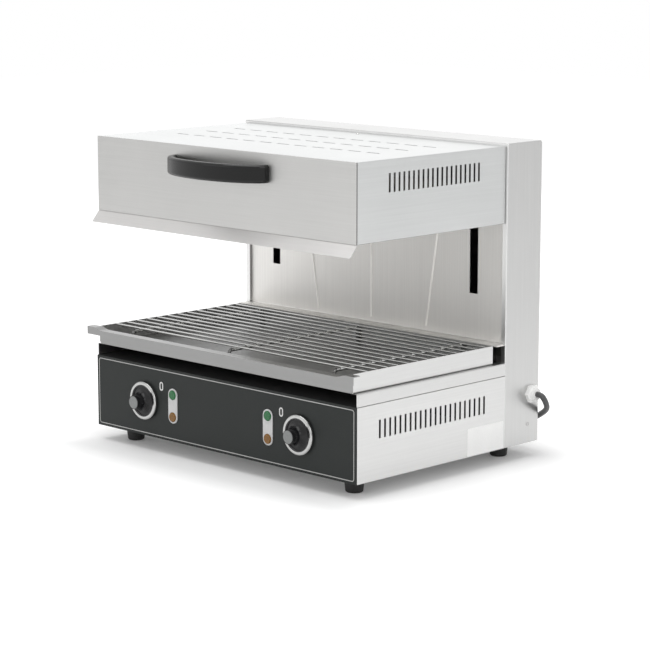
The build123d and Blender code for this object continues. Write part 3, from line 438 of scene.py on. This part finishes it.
steelNodes = {  # matt adds to the roughness; each piece's tone is painted light or shade, making lit and shaded copies of one steel, and each box paints a shade or a highlight of its own tone
    "tray_deck": {"name": "deckSteel", "tone": 0.98, "paintedLightBoxes": [(inDeck, outOfLight)]},
    "base_side_left": {"name": "baseSteel", "tone": 1.02, "paintedLightBoxes": [(inBase, outOfLight)]},
    "column_shell": {"name": "columnSteel", "grain": "upright", "tone": 0.89,
                     "paintedLightBoxes": [(inColumn, outOfLight), (frontReturn, 1.4), (leftLip, 1.6)]},
    "column_cover": {"name": "coverSteel", "grain": "upright"},
    "back_wall": {"name": "wallSteel", "grain": "upright", "tone": 1.4, "tinge": (1.0, 0.985, 0.965),
                  "matt": 0.24, "paintedLightBoxes": [(onBeads, 1.18)]},
    "drip_tray": {"name": "traySteel", "paintedLightBoxes": [(inTray, 0.36), (trayLip, 0.47)]},
    "hood_front": {"name": "hoodFrontSteel", "tone": 0.86, "tinge": (1.0, 0.995, 0.985),
                   "paintedLightBoxes": [(faceEdge, 0.1)]},
    "hood_shell": {"name": "hoodSteel", "tone": 0.97, "tinge": (0.985, 1.0, 1.005)},
    "visor": {"name": "visorSteel", "tone": 0.98, "tinge": (1.005, 0.99, 0.985), "matt": 0.1,
              "paintedLightBoxes": [(visorSeam, 0.12)]},
}
for name, look in steelNodes.items():
    nodeFinish[name] = brushedSteel(**look)
nodeFinish["base_side_right"] = nodeFinish["base_side_left"]

nodeSlot = {row["node"]: row["material_slot"] for row in frame["record"]["subparts"]}
for name, piece in nodes.items():
    finish = nodeFinish.get(name) or slotFinish[nodeSlot[name]]
    piece.data.materials.clear()
    piece.data.materials.append(finish)
leadCurve.materials.append(slotFinish["cord_rubber"])
print("finishes on", len(nodes), "nodes")

# small pieces
sharpFrom = math.radians(35)  # edges over this angle stay sharp


def newPiece(name, mesh, body, finish, smooth=True):
    data = bpy.data.meshes.new(name)
    bmesh.ops.recalc_face_normals(mesh, faces=mesh.faces)
    mesh.to_mesh(data)
    mesh.free()
    data.materials.append(finish)
    if smooth:
        data.shade_smooth()
        data.set_sharp_from_angle(angle=sharpFrom)
    piece = bpy.data.objects.new(name, data)
    scene.collection.objects.link(piece)
    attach(piece, body)
    return piece


def roundedLoop(width, height, radius, steps=8):  # points of a rounded rectangle, about its centre
    points = []
    for quarter, (sx, sy) in enumerate(((1, 1), (-1, 1), (-1, -1), (1, -1))):
        for i in range(steps + 1):
            angle = (quarter + i / steps) * math.pi / 2
            points.append((sx * (width / 2 - radius) + radius * math.cos(angle),
                           sy * (height / 2 - radius) + radius * math.sin(angle)))
    return points


def addLoops(mesh, loops):  # a skin through closed loops of points
    rows = [[mesh.verts.new(p) for p in loop] for loop in loops]
    for a, b in zip(rows, rows[1:]):
        for i in range(len(a)):
            j = (i + 1) % len(a)
            mesh.faces.new((a[i], a[j], b[j], b[i]))
    return rows


def printedLine(name, look, centreX, centreZ, width, height, corner, finish):  # closed, on the panel
    mesh = bmesh.new()
    loops = []
    for inward, proud in ((0, -look["sunk"]), (0, look["proud"]), (1, look["proud"]), (1, -look["sunk"])):
        step = inward * look["line"]
        loop = roundedLoop(width - 2 * step, height - 2 * step, corner - step)
        loops.append([(centreX + x * mm, panelFront - proud * mm, centreZ + z * mm) for x, z in loop])
    addLoops(mesh, loops)
    newPiece(name, mesh, "chassis", finish, smooth=False)


border = {"inset": 4.0, "line": 1.1, "corner": 4.5, "proud": 0.15, "sunk": 0.0075}  # mm
borderCentre = (panelLow + panelHigh) / 2
borderWidth = (panelHigh.x - panelLow.x) / mm - 2 * border["inset"]
borderHeight = (panelHigh.z - panelLow.z) / mm - 2 * border["inset"]
printSilver = plainFinish("printSilver", (0.50, 0.50, 0.49), metal=0.4, rough=0.4, mottle=0.04)
printedLine("panelBorder", border, borderCentre.x, borderCentre.z, borderWidth, borderHeight,
            border["corner"], printSilver)

zeroMark = {  # mm
    "width": 8.4,
    "height": 14.2,
    "line": 2.2,
    "proud": 0.12,
    "sunk": 0.006,
    "fromKnob": (39.3, 28.1),  # towards the panel's middle, and up
}
printWhite = plainFinish("printWhite", (0.70, 0.70, 0.69), rough=0.5, mottle=0.03)
for side, sign in (("left", 1), ("right", -1)):
    knobLow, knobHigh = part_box("knob_ring_" + side)
    knobCentre = (knobLow + knobHigh) / 2
    markX = knobCentre.x + sign * zeroMark["fromKnob"][0] * mm
    markZ = knobCentre.z + zeroMark["fromKnob"][1] * mm
    printedLine("zeroMark_" + side, zeroMark, markX, markZ, zeroMark["width"], zeroMark["height"],
                zeroMark["width"] / 2, printWhite)
print("panel marked")

plate = {  # mm, a bare paper plate on the right side
    "fromFront": (244, 328),
    "z": (25.4, 68.4),
    "corner": 2.0,
    "thick": 0.3,
    "edge": ((0, -0.02), (0, 0.8), (0.15, 1)),  # how far inward, at which share of the thickness
}
plateLong = plate["fromFront"][1] - plate["fromFront"][0]
plateTall = plate["z"][1] - plate["z"][0]
plateY = panelFront / mm + sum(plate["fromFront"]) / 2  # the plate's middle
plateZ = sum(plate["z"]) / 2
plateMesh = bmesh.new()
plateLoops = []
for inward, share in plate["edge"]:
    plateX = baseHigh.x + share * plate["thick"] * mm
    loop = roundedLoop(plateLong - 2 * inward, plateTall - 2 * inward, plate["corner"])
    plateLoops.append([(plateX, (plateY + y) * mm, (plateZ + z) * mm) for y, z in loop])
plateRows = addLoops(plateMesh, plateLoops)
plateMesh.faces.new(plateRows[-1])
platePaper = plainFinish("platePaper", (0.92, 0.92, 0.91), rough=0.45, mottle=0.02)
newPiece("barePlate", plateMesh, "chassis", platePaper)
print("plate on the side")

plugShape = [  # mm from the pins' face, then width, height and corner
    (0.0, 27.0, 24.0, 4.0), (0.4, 30.5, 27.6, 5.0), (1.8, 33.4, 30.6, 6.5), (5.0, 34.0, 31.2, 7.0),
    (18.0, 34.0, 31.2, 8.0), (23.0, 31.8, 28.0, 9.0), (28.0, 30.6, 25.0, 9.5), (33.0, 30.0, 23.0, 9.5),
    (38.0, 26.6, 21.0, 9.0), (41.0, 21.0, 18.5, 8.6), (42.5, 16.4, 16.0, 7.9),
]
plugRelief = {  # mm, ribbed part towards the lead
    "from": 43.5,
    "ribs": 5,
    "pitch": 4.0,
    "rib": 14.6,
    "groove": 11.8,
    "ribSteps": ((0.0, "groove"), (0.7, "rib"), (2.3, "rib"), (3.0, "groove")),
    "slimmer": 0.045,  # share that each rib loses to the one before
    "end": 66.0,
    "tip": 11.2,
    "flat": 0.01,  # keeps the corners just under half the width
}
plugRounds = []  # place and width of the round part
for rib in range(plugRelief["ribs"]):
    ribAt = plugRelief["from"] + rib * plugRelief["pitch"]
    taper = 1 - plugRelief["slimmer"] * rib
    plugRounds += [(ribAt + step, plugRelief[size] * taper) for step, size in plugRelief["ribSteps"]]
plugRounds.append((plugRelief["end"], plugRelief["tip"]))
plugShape += [(at, wide, wide, wide / 2 - plugRelief["flat"]) for at, wide in plugRounds]
plugLow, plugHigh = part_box("plug_body")
plugAxis = (plugLow + plugHigh) / 2
plugLoops = []
for at, wide, high, corner in plugShape:
    loop = roundedLoop(wide, high, corner)
    plugLoops.append([(plugLow.x + at * mm, plugAxis.y + y * mm, plugAxis.z + z * mm) for y, z in loop])
plugMesh = bmesh.new()
plugRows = addLoops(plugMesh, plugLoops)
plugMesh.faces.new(plugRows[0])
plugMesh.faces.new(plugRows[-1])
plug = newPiece("mouldedPlug", plugMesh, "chassis", slotFinish["plug_rubber"])
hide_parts("plug_body")
print("plug on the lead")

screw = {  # mm
    "radius": 2.7,
    "height": 1.6,
    "head": ((1, -0.1), (1, 0.3), (0.93, 0.66), (0.75, 0.92), (0.6, 1)),  # shares of radius and height
    "cross": 1.6,  # half the length of the recess
    "slot": 0.42,  # half its width
    "deep": 0.9,
    "crossFoot": 0.75,  # share of its size that is left at the bottom
    "points": 12,  # round the head, as many as the recess has
}
screwSteel = plainFinish("screwSteel", (0.60, 0.60, 0.59), metal=1.0, rough=0.25, mottle=0.03)


def addScrew(mesh, place, outward, turn):  # a pan head with a cross recess, on a face
    angles = [2 * math.pi * (i - 0.5) / screw["points"] for i in range(screw["points"])]
    rings = []
    for wide, high in screw["head"]:
        radius = screw["radius"] * wide
        z = screw["height"] * high
        rings.append([(radius * math.cos(a), radius * math.sin(a), z) for a in angles])
    long, thin = screw["cross"], screw["slot"]
    for share, down in ((1, 0), (screw["crossFoot"], screw["deep"])):
        points = []
        for quarter in range(4):
            c, s = math.cos(quarter * math.pi / 2), math.sin(quarter * math.pi / 2)
            for x, y in ((long, -thin), (long, thin), (thin, thin)):
                points.append((share * (x * c - y * s), share * (x * s + y * c), screw["height"] - down))
        rings.append(points)
    spin = Vector(outward).to_track_quat("Z", "Y").to_matrix().to_4x4() @ Matrix.Rotation(turn, 4, "Z")
    move = Matrix.Translation(place) @ spin
    rows = addLoops(mesh, [[move @ (Vector(p) * mm) for p in points] for points in rings])
    mesh.faces.new(rows[-1])
    mesh.faces.new(rows[0])


coverScrews = {
    "inset": 7.0,  # mm from the cover's edge
    "rows": 4,  # on each side
    "across": 3,  # along the top
    "rowTurn": 0.7,  # radians from one head to the next
    "acrossTurn": 0.9,
}
coverLow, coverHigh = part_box("column_cover")
inset = coverScrews["inset"] * mm
screwMesh = bmesh.new()
for row in range(coverScrews["rows"]):
    screwZ = coverLow.z + inset + row / (coverScrews["rows"] - 1) * (coverHigh.z - coverLow.z - 2 * inset)
    for screwX in (coverLow.x + inset, coverHigh.x - inset):
        addScrew(screwMesh, (screwX, coverHigh.y, screwZ), (0, 1, 0), coverScrews["rowTurn"] * row)
for step in range(coverScrews["across"]):
    screwX = coverLow.x + (step + 1) / (coverScrews["across"] + 1) * (coverHigh.x - coverLow.x)
    place = (screwX, coverHigh.y, coverHigh.z - inset)
    addScrew(screwMesh, place, (0, 1, 0), coverScrews["acrossTurn"] * step)
sideScrew = {"fromFront": 386.0, "z": 54.4, "turn": 0.4}  # mm and radians, on both sides of the column
for sign in (-1, 1):
    place = (sign * columnHigh.x, panelFront + sideScrew["fromFront"] * mm, sideScrew["z"] * mm)
    addScrew(screwMesh, place, (sign, 0, 0), sideScrew["turn"])
newPiece("columnScrews", screwMesh, "chassis", screwSteel)

hoodScrew = {"x": -10.0, "fromBack": 16.8, "turn": 0.3}  # mm and radians, on the top, near its back edge
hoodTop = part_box("hood_shell")[1]
hoodScrewMesh = bmesh.new()
place = (hoodScrew["x"] * mm, hoodTop.y - hoodScrew["fromBack"] * mm, hoodTop.z)
addScrew(hoodScrewMesh, place, (0, 0, 1), hoodScrew["turn"])
newPiece("hoodScrew", hoodScrewMesh, "hood", screwSteel)
print("screws set")

# stage and light
stage = {
    "floorSize": 14.0,  # m
    "floorDrop": 0.2,  # mm under the feet
    "floorColour": (0.86, 0.86, 0.86),
    "floorRough": 0.9,
    "floorGlow": (0.07, 0.41),  # near the grill and away from it, only for the camera and for reflections; the weaker glow near the grill paints shadow round it, over the lamps' own shadow
    "glowFrom": (0.0, 0.11),  # m from the base
    "worldDiffuse": 0.70,  # light from all round
    "worldSeen": 1.0,  # what the camera and reflections see of it
    "aim": (0, 0, 0.25),  # m, where the lamps point
    "lamps": {  # place, size in m, power in W
        "overhead": ((0.0, -0.4, 2.4), (2.2, 1.8), 28.0),
        "rightSide": ((2.4, -0.7, 1.5), (1.4, 1.4), 9.0),
        "frontFill": ((-1.2, -2.6, 1.3), (1.6, 1.2), 3.0),
        "leftBehind": ((-2.3, 2.4, 1.0), (2.6, 1.4), 6.0),
    },
}


def seenOrReflected(tree):  # 1 for camera, glossy and transmission rays
    path = addNode(tree, "LightPath").outputs
    reflected = maths(tree, "MAXIMUM", path["Is Glossy Ray"], path["Is Transmission Ray"])
    return maths(tree, "MAXIMUM", path["Is Camera Ray"], reflected)


world = bpy.data.worlds.new("studio")
scene.world = world
world.use_nodes = True
worldTree = world.node_tree
background = worldTree.nodes["Background"]
background.inputs["Color"].default_value = (1, 1, 1, 1)
worldLight = mixed(worldTree, seenOrReflected(worldTree), stage["worldDiffuse"], stage["worldSeen"])
worldTree.links.new(worldLight, background.inputs["Strength"])

floorFinish, floorTree, floorShader = newFinish("paleFloor", stage["floorColour"],
                                                rough=stage["floorRough"])
floorShader.inputs["Specular IOR Level"].default_value = 0.0
floorShader.inputs["Emission Color"].default_value = (1, 1, 1, 1)
# the glow grows with the distance from the base's footprint, a painted shadow that darkens the floor round
# the grill
baseReach = (baseHigh.x, max(-panelFront, coverHigh.y), 0)
outside = vectorMaths(floorTree, "ABSOLUTE", objectPlace(floorTree))[0]
outside = vectorMaths(floorTree, "SUBTRACT", outside, baseReach)[0]
outside = vectorMaths(floorTree, "MAXIMUM", outside)[0]
fromBase = vectorMaths(floorTree, "LENGTH", outside)["Value"]
floorGlow = spread(floorTree, fromBase, *stage["floorGlow"], *stage["glowFrom"])
floorGlow = maths(floorTree, "MULTIPLY", seenOrReflected(floorTree), floorGlow)
floorTree.links.new(floorGlow, floorShader.inputs["Emission Strength"])
floorMesh = bmesh.new()
bmesh.ops.create_grid(floorMesh, x_segments=1, y_segments=1, size=stage["floorSize"] / 2,
                      matrix=Matrix.Translation((0, 0, -stage["floorDrop"] * mm)))
floorData = bpy.data.meshes.new("floor")
floorMesh.to_mesh(floorData)
floorMesh.free()
floorData.materials.append(floorFinish)
floor = bpy.data.objects.new("floor", floorData)
scene.collection.objects.link(floor)

aim = Vector(stage["aim"])
for name, (place, size, power) in stage["lamps"].items():
    lampData = bpy.data.lights.new(name, "AREA")
    lampData.shape = "RECTANGLE"
    lampData.size, lampData.size_y = size
    lampData.energy = power
    lamp = bpy.data.objects.new(name, lampData)
    lamp.visible_camera = False
    lamp.location = place
    lamp.rotation_euler = (aim - Vector(place)).to_track_quat("-Z", "Y").to_euler()
    scene.collection.objects.link(lamp)
scene.view_settings.view_transform = "Standard"
print("stage lit")

bpy.context.view_layer.update()
